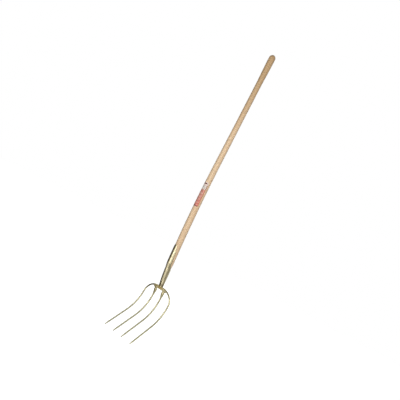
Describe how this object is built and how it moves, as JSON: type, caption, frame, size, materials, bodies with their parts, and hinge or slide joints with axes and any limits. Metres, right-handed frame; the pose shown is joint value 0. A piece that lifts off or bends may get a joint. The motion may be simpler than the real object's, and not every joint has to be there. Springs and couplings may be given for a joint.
{
  "type": "manure fork",
  "caption": "Long manure fork: a gently bent wooden handle in a rolled steel socket with a tongue, on a wide head of curved round tines made of nested bent bars.",
  "frame": {"origin": "on the handle's axis, in the middle of the cylindrical band of the butt", "axes": "+Z along the straight upper stretch of the handle, out of the butt; -Y towards the hollow side of the tines; X across the tines"},
  "size_m": [0.2228, 0.1403, 1.643],
  "materials": {
    "ash_wood": "pale turned ash, thinly varnished",
    "lacquered_steel": "steel under a clear golden bronze lacquer",
    "weld_metal": "rounded weld beads under the same lacquer",
    "label_paper": "red and white coated paper label"
  },
  "bodies": {
    "root": {"handle": "ash_wood", "socket": "lacquered_steel", "outer_tines": "lacquered_steel", "inner_tines": "lacquered_steel", "crown_welds": "weld_metal", "socket_rivet": "lacquered_steel", "handle_label": "label_paper"}
  },
  "joints": []
}
